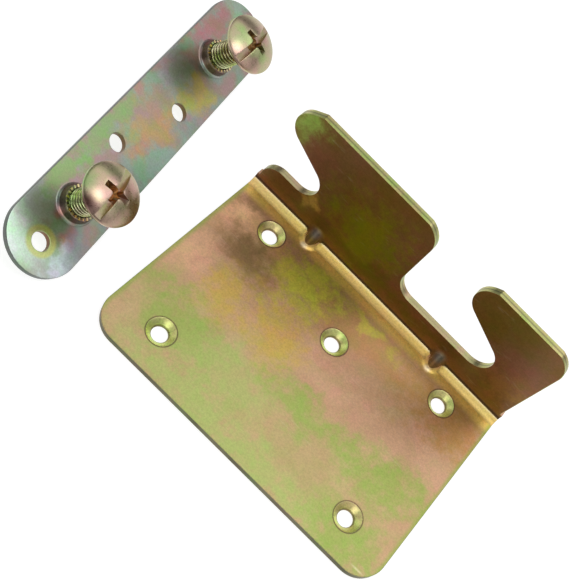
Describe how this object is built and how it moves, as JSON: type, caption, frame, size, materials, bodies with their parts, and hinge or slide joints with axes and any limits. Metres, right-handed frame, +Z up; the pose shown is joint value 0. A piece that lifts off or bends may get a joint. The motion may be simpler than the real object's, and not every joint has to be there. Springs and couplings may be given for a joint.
{
  "type": "bed rail fastener",
  "caption": "Two-part knock-down bed rail fastener: a folded rail bracket with sloping hook slots, and a post strap with tapped collars and dome-head screws that the hooks drop over.",
  "frame": {"origin": "middle of the four rail screw holes, on the face of the plate that goes against the rail", "axes": "+X along the bend from the open end of the slots to their closed end, +Y from the plate's front edge to the flange, +Z up out of the rail plate along the hooks' height"},
  "size_m": [0.1493, 0.1168, 0.042],
  "materials": {
    "bracket": "yellow chromated zinc, iridescent, satin",
    "strap": "yellow chromated zinc, iridescent, satin",
    "screw": "yellow chromated zinc, iridescent, satin"
  },
  "bodies": {
    "halves": {"hook_bracket": "bracket", "post_plate": "strap"},
    "front_screw": {"front_screw": "screw"},
    "rear_screw": {"rear_screw": "screw"}
  },
  "joints": [
    {"name": "front_screw_travel", "type": "slide", "parent": "halves", "child": "front_screw", "axis": [0.4552, 0.0726, 0.8874], "range_m": [-0.0125, 0.00375]},
    {"name": "rear_screw_travel", "type": "slide", "parent": "halves", "child": "rear_screw", "axis": [0.4552, 0.0726, 0.8874], "range_m": [-0.0125, 0.00375]}
  ]
}
